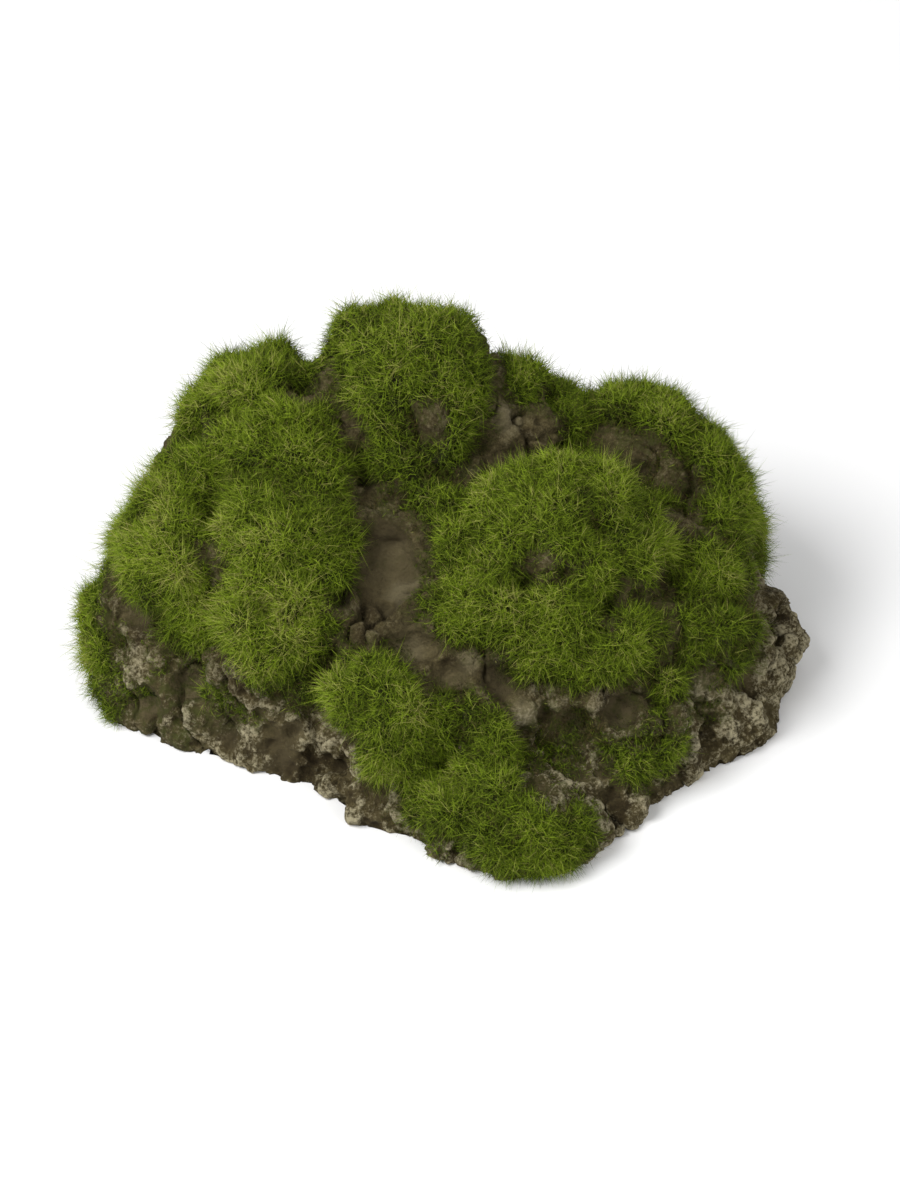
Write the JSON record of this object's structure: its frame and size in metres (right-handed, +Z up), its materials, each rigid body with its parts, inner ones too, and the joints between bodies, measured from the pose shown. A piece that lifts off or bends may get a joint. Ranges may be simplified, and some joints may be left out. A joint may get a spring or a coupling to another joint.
{
  "type": "aquarium cave rock",
  "caption": "Lumpy pitted resin rock, hollow and open underneath with a cave mouth at the back, its mounds covered by separate pads of green flocked moss.",
  "frame": {"origin": "middle of the bounding box at the height of the base rim", "axes": "+Z up from the surface it stands on, +X along the long side to the viewer's right, +Y away from the viewer towards the cave mouth"},
  "size_m": [0.2424, 0.1956, 0.1177],
  "materials": {
    "polyresin": "matt cast polyresin, pitted like limestone, brown in the hollows and dry-brushed pale on the ridges",
    "moss_flock": "stiff nylon flock fibres standing from a green glued ground"
  },
  "bodies": {
    "root": {"rock_shell": "polyresin", "moss_crown": "moss_flock", "moss_upper_left": "moss_flock", "moss_left_ridge": "moss_flock", "moss_left_slope": "moss_flock", "moss_left_rim": "moss_flock", "moss_front_left": "moss_flock", "moss_front_middle": "moss_flock", "moss_front_apex": "moss_flock", "moss_dome": "moss_flock", "moss_dome_front": "moss_flock", "moss_right_slope": "moss_flock", "moss_front_right": "moss_flock", "moss_right_shoulder": "moss_flock", "moss_back_ridge": "moss_flock", "moss_saddle": "moss_flock", "moss_back_left": "moss_flock", "moss_back_middle": "moss_flock", "moss_back_right": "moss_flock", "moss_left_back": "moss_flock", "moss_right_back": "moss_flock"}
  },
  "joints": []
}
